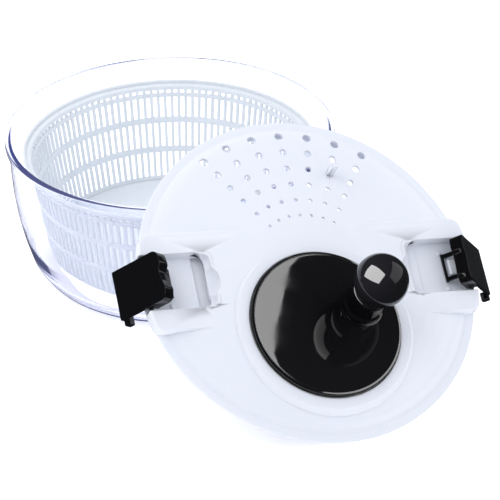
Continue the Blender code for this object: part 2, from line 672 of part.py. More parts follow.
def main():
    """Build and place every piece."""
    clear_scene()
    clear_plastic = material("clear_plastic", (0.85, 0.9, 0.98), 0.05, 0.35)
    frosted = material("frosted_plastic", (0.86, 0.9, 0.93), 0.35)
    white = material("white_plastic", (0.9, 0.91, 0.94), 0.22)
    black = material("black_plastic", (0.012, 0.012, 0.014), 0.12)
    natural = material("natural_plastic", (0.82, 0.8, 0.74), 0.4)
    steel = material("steel", (0.6, 0.6, 0.62), 0.3)

    finish(build_bowl(), None, clear_plastic)
    lift = empty("basket_lift")
    finish(build_sleeve(), lift, natural)
    finish(build_basket(), lift, frosted)

    lid = empty("lid_frame")
    lid.matrix_world = lid_matrix()
    finish(build_lid(), lid, white)
    finish(add_object("shaft_bush", tube(SHAFT_R + RUN_GAP, BUSH_R, -6.1 * MM, 0.7 * MM, 24)),
           lid, natural)
    finish(add_object("crank_bush", tube(BOLT_R + RUN_GAP, BUSH_R, -3.9 * MM, 2.5 * MM, 24)),
           lid, natural, (0.0, -CRANK_E, 0.0))

    crank = empty("crank_axis", lid, (0.0, -CRANK_E, 0.0))
    finish(build_crank_disc(), crank, black)
    finish(build_ring_gear(), crank, natural)
    finish(screw("crank_bolt", BOLT_R, 6 * MM, -7.6 * MM, -5.4 * MM, 8.6 * MM), crank, steel)
    finish(add_object("crank_washer", tube(BOLT_R + 0.05 * MM, 7 * MM, -5.3 * MM, -4.3 * MM, 24)),
           crank, steel)
    x = KNOB_ARM * math.cos(KNOB_ANGLE)
    y = KNOB_ARM * math.sin(KNOB_ANGLE)
    knob = empty("knob_axis", crank, (x, y, 0.0))
    finish(build_knob(), knob, black)
    finish(build_knob_collar(), knob, black)
    finish(add_object("knob_post", cylinder(3.0 * MM, 9.6 * MM, 62.6 * MM, steps=24)), knob, steel)

    finish(build_pinion(), lid, natural)
    finish(build_drive_plate(), lid, white)
    washer_low = DRIVE_LOW - 1.1 * MM
    finish(add_object("drive_washer", tube(1.25 * MM, 6 * MM, washer_low, DRIVE_LOW - 0.1 * MM,
                                           24)), lid, steel)
    finish(screw("drive_screw", 1.2 * MM, 3.4 * MM, washer_low - 2.1 * MM,
                 washer_low - 0.1 * MM, -2.6 * MM), lid, steel)

    for name, side, angle in (("left", -1, LATCH_REST_L), ("right", 1, LATCH_REST_R)):
        hinge = empty("latch_axis_" + name, lid, (side * LATCH_X, 0.0, LATCH_H))
        hinge.rotation_euler = (0.0, side * angle, 0.0)
        finish(build_latch("latch_" + name, side), hinge, black)
        finish(build_bar("latch_bar_" + name), hinge, steel)


main()
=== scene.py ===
"""Looks of a crank salad spinner: a clear bowl, its slotted basket, and the lid leaning on the rim.

Lengths in the classes are millimetres. The lid's pieces are modelled in the lid's own frame, which
has its origin on the lid's axis at the top of the flange, +Z out of the lid and +Y to the drain
holes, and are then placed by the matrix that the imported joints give.
"""

import json
import logging
import math
from dataclasses import dataclass
from enum import Enum
from typing import Iterable, Optional, Sequence

import bmesh
import bpy
from mathutils import Matrix, Vector


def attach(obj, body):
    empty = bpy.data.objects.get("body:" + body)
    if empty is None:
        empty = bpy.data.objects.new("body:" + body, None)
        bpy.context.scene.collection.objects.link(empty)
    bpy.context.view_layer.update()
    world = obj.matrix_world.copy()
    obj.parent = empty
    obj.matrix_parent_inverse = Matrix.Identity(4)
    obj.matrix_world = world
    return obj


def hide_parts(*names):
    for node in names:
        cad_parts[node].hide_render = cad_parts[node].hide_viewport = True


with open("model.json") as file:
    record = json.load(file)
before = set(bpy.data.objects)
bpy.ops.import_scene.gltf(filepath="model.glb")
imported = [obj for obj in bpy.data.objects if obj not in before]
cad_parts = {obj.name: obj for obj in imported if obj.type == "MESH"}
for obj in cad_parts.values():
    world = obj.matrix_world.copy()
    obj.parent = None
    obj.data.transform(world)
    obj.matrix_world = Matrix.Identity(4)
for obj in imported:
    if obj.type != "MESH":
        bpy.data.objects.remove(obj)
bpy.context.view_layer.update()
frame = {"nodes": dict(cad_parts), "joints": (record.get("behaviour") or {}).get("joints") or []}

MM = 0.001
LOG = logging.getLogger("salad_spinner")

Point = tuple[float, float]
Corner = tuple[float, float, float]


class Side(Enum):
    """The two sides of the lid that carry a latch."""

    LEFT = -1
    RIGHT = 1


class Operation(Enum):
    """How one solid acts on another."""

    UNION = "UNION"
    DIFFERENCE = "DIFFERENCE"
    INTERSECT = "INTERSECT"


def linear(code: str) -> tuple[float, float, float, float]:
    """Turn an sRGB hex colour to linear RGBA.

    Args:
        code: Six hex digits.

    Returns:
        The linear colour with full alpha.
    """
    parts = [int(code[i:i + 2], 16) / 255.0 for i in (0, 2, 4)]
    values = [p / 12.92 if p <= 0.04045 else ((p + 0.055) / 1.055) ** 2.4 for p in parts]
    return (values[0], values[1], values[2], 1.0)


def add_node(tree: bpy.types.NodeTree, kind: str, settings: dict, links: dict) -> bpy.types.Node:
    """Add a shader node with its settings and its incoming links.

    Args:
        tree: The node tree.
        kind: The node's type name.
        settings: Values by attribute name or by input name.
        links: Output sockets by input name.

    Returns:
        The new node.
    """
    node = tree.nodes.new(kind)
    for key, value in settings.items():
        if key in node.inputs:
            node.inputs[key].default_value = value
        else:
            setattr(node, key, value)
    for key, socket in links.items():
        tree.links.new(socket, node.inputs[key])
    return node


@dataclass(frozen=True)
class Plastic:
    """A moulded plastic: its colour, gloss and the faint texture that the mould leaves."""

    name: str
    slot: str
    colour: str
    roughness: float
    ior: float = 1.5
    rough_spread: float = 0.04
    edge: float = 0.5
    peel: float = 3.0
    peel_height: float = 0.004
    wave: float = 28.0
    wave_height: float = 0.0
    subsurface: float = 0.0
    subsurface_depth: float = 3.0
    transmission: float = 0.0
    tint: Optional[str] = None
    tint_density: float = 0.0
    # Painted glow: an emission colour and strength that make the surface glow though it is no lamp.
    painted_glow: str = "FFFFFF"
    painted_glow_strength: float = 0.0

    def build(self) -> bpy.types.Material:
        """Make the material.

        Returns:
            The node material.
        """
        material = bpy.data.materials.new(self.name)
        material.use_nodes = True
        tree = material.node_tree
        tree.nodes.clear()
        where = add_node(tree, "ShaderNodeTexCoord", {}, {}).outputs["Object"]
        haze = add_node(tree, "ShaderNodeTexNoise", {"Scale": 1.0 / (18.0 * MM), "Detail": 4.0},
                        {"Vector": where})
        rough = add_node(tree, "ShaderNodeMapRange",
                         {"From Min": 0.3, "From Max": 0.7,
                          "To Min": max(0.0, self.roughness - self.rough_spread),
                          "To Max": self.roughness + self.rough_spread},
                         {"Value": haze.outputs["Fac"]})
        edge = add_node(tree, "ShaderNodeBevel", {"samples": 4, "Radius": self.edge * MM}, {})
        peel = add_node(tree, "ShaderNodeTexNoise",
                        {"Scale": 1.0 / (self.peel * MM), "Detail": 2.0}, {"Vector": where})
        bump = add_node(tree, "ShaderNodeBump",
                        {"Strength": 1.0, "Distance": self.peel_height * MM},
                        {"Height": peel.outputs["Fac"], "Normal": edge.outputs["Normal"]})
        if self.wave_height > 0.0:
            wave = add_node(tree, "ShaderNodeTexNoise",
                            {"Scale": 1.0 / (self.wave * MM), "Detail": 0.0}, {"Vector": where})
            bump = add_node(tree, "ShaderNodeBump",
                            {"Strength": 1.0, "Distance": self.wave_height * MM},
                            {"Height": wave.outputs["Fac"], "Normal": bump.outputs["Normal"]})
        # The emission paints a glow on the surface, light that no lamp gives.
        shader = add_node(tree, "ShaderNodeBsdfPrincipled",
                          {"Base Color": linear(self.colour), "IOR": self.ior,
                           "Transmission Weight": self.transmission,
                           "Emission Color": linear(self.painted_glow),
                           "Emission Strength": self.painted_glow_strength,
                           "Subsurface Weight": self.subsurface,
                           "Subsurface Scale": self.subsurface_depth * MM,
                           "Subsurface Radius": (1.0, 1.0, 1.0)},
                          {"Roughness": rough.outputs["Result"], "Normal": bump.outputs["Normal"]})
        out = add_node(tree, "ShaderNodeOutputMaterial", {}, {"Surface": shader.outputs["BSDF"]})
        if self.tint:
            body = add_node(tree, "ShaderNodeVolumeAbsorption",
                            {"Color": linear(self.tint), "Density": self.tint_density}, {})
            tree.links.new(body.outputs["Volume"], out.inputs["Volume"])
        return material


@dataclass(frozen=True)
class TurnedSteel:
    """Stainless steel bar and sheet, turned or stamped, with fine tool marks."""

    name: str = "stainless_steel_turned"
    slot: str = "steel"
    colour: str = "C9C8C4"
    roughness: float = 0.26
    mark: float = 0.35

    def build(self) -> bpy.types.Material:
        """Make the material.

        Returns:
            The node material.
        """
        material = bpy.data.materials.new(self.name)
        material.use_nodes = True
        tree = material.node_tree
        tree.nodes.clear()
        where = add_node(tree, "ShaderNodeTexCoord", {}, {}).outputs["Object"]
        marks = add_node(tree, "ShaderNodeTexNoise",
                         {"Scale": 1.0 / (self.mark * MM), "Detail": 3.0}, {"Vector": where})
        rough = add_node(tree, "ShaderNodeMapRange",
                         {"From Min": 0.3, "From Max": 0.7, "To Min": self.roughness - 0.06,
                          "To Max": self.roughness + 0.1}, {"Value": marks.outputs["Fac"]})
        bump = add_node(tree, "ShaderNodeBump", {"Strength": 0.5, "Distance": 0.004 * MM},
                        {"Height": marks.outputs["Fac"]})
        shader = add_node(tree, "ShaderNodeBsdfPrincipled",
                          {"Base Color": linear(self.colour), "Metallic": 1.0},
                          {"Roughness": rough.outputs["Result"], "Normal": bump.outputs["Normal"]})
        add_node(tree, "ShaderNodeOutputMaterial", {}, {"Surface": shader.outputs["BSDF"]})
        return material


# Clear styrene copolymer, moulded in a polished tool: glass-like, faintly blue where it is thick.
# The small blue glow is painted light: an even emission that stands in for light carried along rim
# and wall.
CLEAR_BOWL = Plastic("styrene_clear_polished_mould", "clear", "FFFFFF", 0.02, ior=1.33,
                     rough_spread=0.015, edge=0.6, peel=8.0, peel_height=0.002,
                     transmission=1.0, tint="B9C4FF", tint_density=20.0, painted_glow="B0B8FF",
                     painted_glow_strength=0.036)
# Natural polypropylene, moulded thin: milky, light passes a little way in, satin face.
MILKY_BASKET = Plastic("polypropylene_milky_moulded", "frosted", "E9EEF2", 0.34, ior=1.49,
                       edge=0.4, peel=1.6, peel_height=0.01, subsurface=0.35,
                       subsurface_depth=4.0)
# White ABS, moulded in a fine-polished tool: even, slightly cool white with a soft gloss.
WHITE_LID = Plastic("abs_white_moulded", "white", "EDF0F8", 0.2, ior=1.53, rough_spread=0.05,
                    edge=0.9, peel=2.2, peel_height=0.006, subsurface=0.25,
                    subsurface_depth=2.0)
# Black ABS from a mirror-polished tool: deep gloss, with the faint waves of a cooled skin.
BLACK_GLOSS = Plastic("abs_black_gloss_moulded", "black", "0B0B0D", 0.04, ior=1.53,
                      rough_spread=0.02, edge=0.5, peel=5.0, peel_height=0.003,
                      wave=22.0, wave_height=0.05)
# Natural acetal, moulded: waxy off-white bearing plastic with a low gloss.
ACETAL = Plastic("acetal_natural_moulded", "natural", "EAE6D8", 0.38, ior=1.48, edge=0.25,
                 peel=1.0, peel_height=0.008, subsurface=0.2, subsurface_depth=1.5)
# Stainless steel, turned and stamped: grey, softly bright, with fine marks.
STEEL = TurnedSteel()


class Workshop:
    """Makes meshes from simple shapes and keeps the finished materials."""

    def __init__(self) -> None:
        """Start with no materials made."""
        self.made: dict[str, bpy.types.Material] = {}

    def material(self, finish: "Plastic | TurnedSteel") -> bpy.types.Material:
        """Give the material of a finish, made once.

        Args:
            finish: The finish.

        Returns:
            Its material.
        """
        if finish.name not in self.made:
            self.made[finish.name] = finish.build()
        return self.made[finish.name]

    @staticmethod
    def soften(corners: Sequence[Corner], steps: int = 6, closed: bool = True) -> list[Point]:
        """Round the corners of an outline.

        Args:
            corners: Points with the radius at each, in millimetres.
            steps: Points on each rounding.
            closed: Whether the last point joins the first.

        Returns:
            The outline's points.
        """
        points: list[Point] = []
        count = len(corners)
        for i, (x, y, radius) in enumerate(corners):
            ends = not closed and i in (0, count - 1)
            if radius <= 0.0 or ends:
                points.append((x, y))
                continue
            here = Vector((x, y))
            back = Vector(corners[i - 1][:2]) - here
            ahead = Vector(corners[(i + 1) % count][:2]) - here
            half = back.angle(ahead) / 2.0
            reach = min(radius / max(math.tan(half), 1e-3), 0.49 * back.length,
                        0.49 * ahead.length)
            start = here + back.normalized() * reach
            end = here + ahead.normalized() * reach
            for k in range(steps + 1):
                t = k / steps
                p = start * (1 - t) ** 2 + here * 2 * t * (1 - t) + end * t ** 2
                points.append((p.x, p.y))
        return points

    def spun(self, outline: Sequence[Point], steps: int = 192, x: float = 0.0,
             y: float = 0.0) -> bmesh.types.BMesh:
        """Spin a closed outline about an upright axis.

        Args:
            outline: Points as radius and height.
            steps: Steps round the axis.
            x: The axis' place along X.
            y: The axis' place along Y.

        Returns:
            The closed mesh.
        """
        bm = bmesh.new()
        verts = [bm.verts.new((r * MM, 0.0, h * MM)) for r, h in outline]
        edges = [bm.edges.new(pair) for pair in zip(verts, verts[1:] + verts[:1])]
        bmesh.ops.spin(bm, geom=verts + edges, cent=(0, 0, 0), axis=(0, 0, 1),
                       angle=2 * math.pi, steps=steps, use_merge=True)
        bmesh.ops.remove_doubles(bm, verts=bm.verts, dist=1e-7)
        bmesh.ops.dissolve_degenerate(bm, dist=1e-7, edges=bm.edges)
        loose = [f for f in bm.faces if f.calc_area() < 1e-14]
        bmesh.ops.delete(bm, geom=loose, context="FACES")
        bmesh.ops.translate(bm, verts=bm.verts, vec=(x * MM, y * MM, 0.0))
        bmesh.ops.recalc_face_normals(bm, faces=bm.faces)
        return bm

    def slab(self, outline: Sequence[Point], low: float, high: float, top: float = 0.0,
             bottom: float = 0.0, segments: int = 4) -> bmesh.types.BMesh:
        """Raise an outline between two heights, with rounded top and bottom edges.

        Args:
            outline: Points in plan.
            low: Lower height.
            high: Upper height.
            top: Rounding of the top edge.
            bottom: Rounding of the bottom edge.
            segments: Segments of each rounding.

        Returns:
            The closed mesh.
        """
        bm = bmesh.new()
        base = bm.faces.new([bm.verts.new((px * MM, py * MM, low * MM)) for px, py in outline])
        raised = bmesh.ops.extrude_face_region(bm, geom=[base])["geom"]
        moved = [g for g in raised if isinstance(g, bmesh.types.BMVert)]
        bmesh.ops.translate(bm, verts=moved, vec=(0.0, 0.0, (high - low) * MM))
        if not base.is_valid or all(abs(f.normal.z) < 0.5 or f.calc_center_median().z > low * MM
                                    + 1e-9 for f in bm.faces):
            edges = [e for e in bm.edges if e.is_boundary]
            bmesh.ops.holes_fill(bm, edges=edges)
        bmesh.ops.recalc_face_normals(bm, faces=bm.faces)
        for height, size in ((high, top), (low, bottom)):
            if size <= 0.0:
                continue
            rim = [e for e in bm.edges
                   if all(abs(v.co.z - height * MM) < 1e-7 for v in e.verts)]
            bmesh.ops.bevel(bm, geom=rim, offset=size * MM, affect="EDGES", segments=segments,
                            profile=0.5, material=-1, offset_type="OFFSET", clamp_overlap=True)
        return bm

    @staticmethod
    def circle(radius: float, steps: int, x: float = 0.0, y: float = 0.0) -> list[Point]:
        """Give the points of a circle in plan."""
        return [(x + radius * math.cos(2 * math.pi * i / steps),
                 y + radius * math.sin(2 * math.pi * i / steps)) for i in range(steps)]

    @staticmethod
    def join(parts: Iterable[bmesh.types.BMesh]) -> bmesh.types.BMesh:
        """Put several meshes in one, without merging them."""
        whole = bmesh.new()
        for part in parts:
            copy = bpy.data.meshes.new("part")
            part.to_mesh(copy)
            part.free()
            whole.from_mesh(copy)
            bpy.data.meshes.remove(copy)
        return whole

    def cut(self, target: bmesh.types.BMesh, tool: bmesh.types.BMesh,
            operation: Operation) -> bmesh.types.BMesh:
        """Combine two closed meshes.

        Args:
            target: The mesh to change.
            tool: The mesh that acts on it.
            operation: What it does.

        Returns:
            The result.
        """
        objects = []
        for bm in (target, tool):
            mesh = bpy.data.meshes.new("work")
            bm.to_mesh(mesh)
            bm.free()
            obj = bpy.data.objects.new("work", mesh)
            bpy.context.scene.collection.objects.link(obj)
            objects.append(obj)
        change = objects[0].modifiers.new("cut", "BOOLEAN")
        change.operation = operation.value
        change.solver = "EXACT"
        change.object = objects[1]
        graph = bpy.context.evaluated_depsgraph_get()
        done = bpy.data.meshes.new_from_object(objects[0].evaluated_get(graph))
        result = bmesh.new()
        result.from_mesh(done)
        for obj in objects:
            old = obj.data
            bpy.data.objects.remove(obj)
            bpy.data.meshes.remove(old)
        bpy.data.meshes.remove(done)
        return result

    def piece(self, name: str, bm: bmesh.types.BMesh, finish: "Plastic | TurnedSteel", body: str,
              replaces: Sequence[str] = (), place: Optional[Matrix] = None,
              sharp: float = 32.0) -> bpy.types.Object:
        """Finish a mesh as a piece of the object.

        Args:
            name: The piece's name.
            bm: Its mesh, in its own frame.
            finish: Its finish.
            body: The body it rides on.
            replaces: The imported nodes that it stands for.
            place: Where its frame lies.
            sharp: Edges over this many degrees stay sharp.

        Returns:
            The object.
        """
        if place is not None:
            bm.transform(place)
            if place.determinant() < 0.0:
                bmesh.ops.reverse_faces(bm, faces=bm.faces)
        mesh = bpy.data.meshes.new(name)
        bm.to_mesh(mesh)
        bm.free()
        mesh.polygons.foreach_set("use_smooth", [True] * len(mesh.polygons))
        mesh.set_sharp_from_angle(angle=math.radians(sharp))
        obj = bpy.data.objects.new(name, mesh)
        bpy.context.scene.collection.objects.link(obj)
        weights = obj.modifiers.new("even_normals", "WEIGHTED_NORMAL")
        weights.keep_sharp = True
        weights.weight = 50
        mesh.materials.append(self.material(finish))
        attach(obj, body)
        if replaces:
            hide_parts(*replaces)
        LOG.info("%s: %d faces on %s", name, len(mesh.polygons), body)
        return obj

    def dress(self, node: str, finish: "Plastic | TurnedSteel") -> None:
        """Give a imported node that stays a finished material."""
        obj = frame["nodes"][node]
        obj.data.materials.clear()
        obj.data.materials.append(self.material(finish))
        LOG.info("%s keeps its packed shape", node)


class LidPlace:
    """Where the lid and the pieces on it lie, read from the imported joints."""

    def __init__(self) -> None:
        """Build the frames from the joints' places and axes."""
        self.joints = {j["name"]: j for j in frame["joints"]}
        out = Vector(self.joints["drive_spin"]["axis"]).normalized()
        along = Vector(self.joints["latch_right_swing"]["axis"]).normalized()
        across = along.cross(out)
        turn = Matrix((across, along, out)).transposed().to_4x4()
        self.lid = Matrix.Translation(self.joints["drive_spin"]["pos_m"]) @ turn

    def spot(self, joint: str) -> Vector:
        """Give a joint's place in the lid's frame, in metres."""
        return self.lid.inverted() @ Vector(self.joints[joint]["pos_m"])

    def latch(self, side: Side) -> Matrix:
        """Give the frame of a latch at rest, its outer end along +X.

        Args:
            side: Which latch.

        Returns:
            The matrix, which mirrors X for the left latch.
        """
        name = "latch_right_swing" if side is Side.RIGHT else "latch_left_swing"
        angle = math.radians(90.0 - self.joints[name]["range_deg"][1])
        place = Matrix.Translation(self.spot(name)) @ Matrix.Rotation(side.value * angle, 4, "Y")
        flip = Matrix.Scale(float(side.value), 4, Vector((1, 0, 0)))
        return self.lid @ place @ flip


@dataclass
class Bowl:
    """Clear outer bowl with an outward lip and the basket's pin in its floor."""

    rim: float = 125.0
    height: float = 112.7
    wall: float = 2.2

    def outline(self, shop: Workshop) -> list[Point]:
        """Give the wall's outline from the foot's centre out, up and back inside."""
        w = self.wall
        lip = self.height - 5.2
        neck = self.rim - 5.0 + w
        corners = [(0.0, 0.6, 0), (60.0, 0.6, 1), (62.0, 0.0, 1), (90.0, 0.0, 6),
                   (101.5, 3.0, 9), (109.5, 15.0, 16), (115.1, 35.2, 60), (118.7, 53.0, 90),
                   (120.8, 71.0, 120), (121.8, 88.0, 160), (neck, lip, 0.6),
                   (self.rim, lip, 0.8), (self.rim, self.height, 1.0),
                   (self.rim - 4.8, self.height, 1.0), (self.rim - 5.0, lip, 3.0),
                   (121.8 - w, 88.0, 160), (120.8 - w, 71.0, 120), (118.7 - w, 53.0, 90),
                   (115.1 - w, 35.6, 60), (108.6 - w, 16.0, 14), (100.4, 5.8, 9),
                   (90.0, 3.0, 6), (9.0, 3.0, 3), (5.4, 12.0, 0.3), (4.0, 12.0, 0.3),
                   (4.0, 30.0, 1.0), (0.0, 30.0, 0)]
        return shop.soften(corners, steps=5, closed=False)

    def build(self, shop: Workshop) -> None:
        """Make the bowl."""
        # The bowl carries the painted blue glow of its clear plastic.
        shop.piece("clear_bowl", shop.spun(self.outline(shop), 160), CLEAR_BOWL, "bowl", ["bowl"])


@dataclass
class Basket:
    """Milky basket: rows of upright slots between solid bands, a row of notches, and a hub."""

    slots: int = 120
    wall: float = 1.8
    open_share: float = 0.6

    def build(self, shop: Workshop) -> None:
        """Make the slotted side, then the floor with its hub."""
        self.side(shop)
        self.floor(shop)

    def side(self, shop: Workshop) -> None:
        """Spin the side as a skin, open its slots, and give it its thickness."""
        rows = [(94.5, 18.0, 0), (95.9, 21.0, 1), (99.5, 41.0, 0), (100.3, 45.5, 1),
                (103.3, 65.5, 0), (104.1, 70.0, 1), (106.4, 87.0, 0), (106.9, 90.0, 1),
                (107.5, 92.6, 0), (107.9, 94.2, 0), (111.4, 95.0, 0), (112.0, 96.0, 0),
                (112.0, 98.6, 0), (111.1, 99.5, 0)]
        bm = bmesh.new()
        verts = [bm.verts.new((r * MM, 0, h * MM)) for r, h, _ in rows]
        edges = [bm.edges.new(pair) for pair in zip(verts, verts[1:])]
        steps = 2 * self.slots
        bmesh.ops.spin(bm, geom=verts + edges, cent=(0, 0, 0), axis=(0, 0, 1),
                       angle=2 * math.pi, steps=steps, use_merge=True)
        bmesh.ops.remove_doubles(bm, verts=bm.verts, dist=1e-7)
        pitch = 2 * math.pi / steps
        gone = []
        for face in bm.faces:
            centre = face.calc_center_median()
            column = int((math.atan2(centre.y, centre.x) % (2 * math.pi)) / pitch)
            slotted = any(rows[i][1] < centre.z / MM < rows[i + 1][1] and rows[i][2]
                          for i in range(len(rows) - 1))
            if slotted and column % 2:
                gone.append(face)
        bmesh.ops.delete(bm, geom=gone, context="FACES")
        shift = pitch * (self.open_share - 0.5)
        for vert in bm.verts:
            column = round((math.atan2(vert.co.y, vert.co.x) % (2 * math.pi)) / pitch)
            vert.co.rotate(Matrix.Rotation(shift if column % 2 == 0 else -shift, 3, "Z"))
        bmesh.ops.recalc_face_normals(bm, faces=bm.faces)
        middle = max(bm.faces, key=lambda f: f.calc_center_median().z)
        if middle.normal.dot(middle.calc_center_median() * Vector((1, 1, 0))) < 0:
            bmesh.ops.reverse_faces(bm, faces=bm.faces)
        skin = bm.faces[:]
        bmesh.ops.solidify(bm, geom=skin, thickness=self.wall * MM)
        bmesh.ops.recalc_face_normals(bm, faces=bm.faces)
        shop.piece("basket_side", bm, MILKY_BASKET, "basket", ["basket"], sharp=40.0)

    def floor(self, shop: Workshop) -> None:
        """Make the basket's floor with its rounded edge and domed hub."""
        corners = [(0.0, 32.8, 0), (6.6, 32.8, 0.2), (6.6, 14.2, 0.2), (14.0, 14.2, 0.5),
                   (20.0, 16.0, 1), (60.0, 16.0, 0.5), (61.0, 15.2, 0.5), (86.0, 15.2, 2),
                   (94.6, 18.0, 0.3), (92.8, 18.7, 0.3), (86.0, 17.0, 2), (61.0, 17.0, 0.5),
                   (60.0, 17.8, 0.5), (21.0, 17.8, 2), (13.0, 20.0, 3), (9.0, 32.5, 2),
                   (6.0, 34.8, 2), (0.0, 34.8, 0)]
        shop.piece("basket_floor", shop.spun(shop.soften(corners, 4, closed=False), 120),
                   MILKY_BASKET, "basket", ["basket"])


@dataclass
class LidShell:
    """White lid: domed shell with a bridge, a crank well in a collar, and two latch pockets."""

    radius: float = 125.0
    bridge_top: float = 8.0
    bridge_half: float = 37.0
    ear: float = 126.2
    collar: float = 63.8
    collar_top: float = 10.2
    well: float = 55.9
    pocket_in: float = 77.5
    pocket_half: float = 21.0
    crank_y: float = -41.0
    shell: float = 2.0
    notch: float = 12.7
    notch_x: float = 82.0
    notch_y: float = -1.0
    scoop: float = 74.0
    scoop_half: float = 19.6
    drain_rows: tuple[Point, ...] = ((111.4, 3.1), (97.8, 2.7), (84.4, 2.3), (71.1, 1.9),
                                     (57.6, 1.5), (44.8, 1.1))
    drain_side: int = 3
    drain_step: float = 11.05
    bush_bore: float = 5.06
    bar_bore: float = 1.8
    hinge_x: float = 121.0
    hinge_height: float = 2.6

    def dome(self, drop: float) -> list[Corner]:
        """Give the dome's profile from its centre out, lowered by a shell's thickness."""
        corners = [(0.0, 11.0, 0), (30.0, 10.4, 60), (44.8, 9.4, 60), (57.6, 7.9, 60),
                   (71.0, 6.6, 60), (84.0, 5.6, 60), (98.0, 4.8, 60), (108.0, 4.1, 30),
                   (113.0, 3.3, 9), (116.6, 1.9, 6), (118.9, 0.3, 0.6)]
        return [(r, h - drop, c) for r, h, c in corners]

    def bridge_outline(self, inset: float) -> list[Point]:
        """Give the bridge's plan: a strip across the lid with its ends on an arc."""
        half = self.bridge_half - inset
        arc = self.ear - inset
        corner = math.asin(half / arc)
        points: list[Point] = []
        for turn in (0.0, math.pi):
            sweep = corner - math.radians(2.4)
            ends = [(arc * math.cos(turn + a), arc * math.sin(turn + a))
                    for a in (sweep * k / 12 for k in range(-12, 13))]
            points += ends
        rounded: list[Point] = []
        for i, point in enumerate(points):
            rounded.append(point)
            if i % 25 == 24:
                side = 1.0 if i < 25 else -1.0
                near = Vector(point)
                tip = Vector((side * math.sqrt(arc ** 2 - half ** 2), side * half))
                far = Vector((tip.x - side * 6.0, tip.y))
                rounded += self.bend(near, tip, far)
                other = Vector((-far.x, far.y))
                after = Vector(points[(i + 1) % 50])
                rounded += self.bend(other, Vector((-tip.x, tip.y)), after)
        return rounded

    def bend(self, start: Vector, middle: Vector, end: Vector) -> list[Point]:
        """Give the points of a soft bend between two ends."""
        found = []
        for k in range(1, 6):
            t = k / 6
            p = start * (1 - t) ** 2 + middle * 2 * t * (1 - t) + end * t ** 2
            found.append((p.x, p.y))
        return [(start.x, start.y), *found, (end.x, end.y)]

    def pocket_outline(self, side: Side, inset: float) -> list[Point]:
        """Give a latch pocket's plan, open to the lid's edge."""
        s = side.value
        inner, half = self.pocket_in - inset, self.pocket_half + inset
        corners = [(inner, -half, 8.0), (140.0, -half, 0), (140.0, half, 0), (inner, half, 8.0)]
        return [(s * x, y) for x, y in Workshop.soften(corners, 8)]

    def full_dome(self, drop: float) -> list[Corner]:
        """Give the fuller profile of the half below the bridge, lowered by a thickness."""
        corners = [(0.0, 8.25, 0), (78.0, 8.2, 60), (88.0, 7.9, 20), (96.0, 7.1, 20),
                   (103.0, 5.8, 20), (109.0, 4.1, 20), (114.0, 2.2, 12), (118.6, 0.3, 0.8)]
        return [(r, h - drop, c) for r, h, c in corners]

    def mass(self, shop: Workshop, inset: float) -> bmesh.types.BMesh:
        """Make the lid's outer form as a solid, or the room inside it.

        Args:
            shop: The workshop.
            inset: Nought for the outer form, or the shell's thickness for the room.

        Returns:
            The solid.
        """
        if inset == 0.0:
            under = [(124.2, 0.0, 0), (self.radius, -0.6, 0.5), (self.radius, -2.4, 0.6),
                     (118.9, -2.4, 0.8), (118.9, -10.4, 0.5), (117.0, -10.4, 0.5),
                     (116.0, -9.9, 0), (0.0, -9.9, 0)]
            corners = self.dome(0.0) + under
        else:
            inner = [c for c in self.dome(inset) if c[0] < 112.0]
            corners = inner + [(113.0, 1.0, 2), (117.0, -2.6, 2), (117.0, -13.0, 0),
                               (0.0, -13.0, 0)]
        solid = shop.spun(shop.soften(corners, 5, closed=False), 192)
        low = -2.15 if inset == 0.0 else -12.1
        limit = self.bridge_outline(9.9 if inset > 0.0 else 0.0)
        if inset > 0.0:
            limit = [(x, max(-35.0, min(35.0, y * 35.0 / 27.1))) for x, y in limit]
        bridge = shop.slab(limit, low, self.bridge_top - inset, top=2.0 if inset == 0.0 else 0.0,
                           segments=5)
        solid = shop.cut(solid, bridge, Operation.UNION)
        fuller = [c for c in self.full_dome(inset) if inset == 0.0 or c[0] < 112.0]
        edge = fuller[-1][0]
        base = -1.3 if inset == 0.0 else -13.3
        profile = shop.soften(fuller + [(edge, base, 0), (0.0, base, 0)], 5, closed=False)
        half = shop.slab([(-130, -130), (130, -130), (130, -20), (-130, -20)], -30.0, 30.0)
        half = shop.cut(shop.spun(profile, 192), half, Operation.INTERSECT)
        solid = shop.cut(solid, half, Operation.UNION)
        ring = self.collar - inset
        top = self.collar_top - inset
        low = 0.0 if inset == 0.0 else -12.6
        profile = shop.soften([(0.0, low, 0), (ring + 3.4, low, 0), (ring + 3.0, 6.4 - inset, 1.0),
                               (ring, top, 1.6), (0.0, top, 0)], 6, closed=False)
        solid = shop.cut(solid, shop.spun(profile, 144, y=self.crank_y), Operation.UNION)
        well = self.well + inset
        floor = 0.8 - inset
        profile = shop.soften([(0.0, floor, 0), (well - 1.0, floor, 1.5), (well, 10.9 - inset, 0),
                               (well + 1.0, 30.0, 0), (0.0, 30.0, 0)], 4, closed=False)
        solid = shop.cut(solid, shop.spun(profile, 144, y=self.crank_y), Operation.DIFFERENCE)
        for side in Side:
            floor = -0.5 - inset
            pocket = shop.slab(self.pocket_outline(side, inset), floor, 30.0, bottom=1.2)
            solid = shop.cut(solid, pocket, Operation.DIFFERENCE)
            s = side.value
            start, half = self.scoop - inset, self.scoop_half + inset
            scoop = [(start, -half, 10.0), (86.0, -half, 0), (86.0, half, 0),
                     (start, half, 10.0)]
            plan = [(s * x, y) for x, y in shop.soften(scoop, 8)]
            slope = shop.slab(plan, 3.2 - inset, 30.0, bottom=3.6, segments=6)
            solid = shop.cut(solid, slope, Operation.DIFFERENCE)
            notch = shop.slab(shop.circle(self.notch + inset, 64, s * self.notch_x, self.notch_y),
                              2.5 - inset, 30.0, bottom=4.0, segments=6)
            solid = shop.cut(solid, notch, Operation.DIFFERENCE)
        return solid

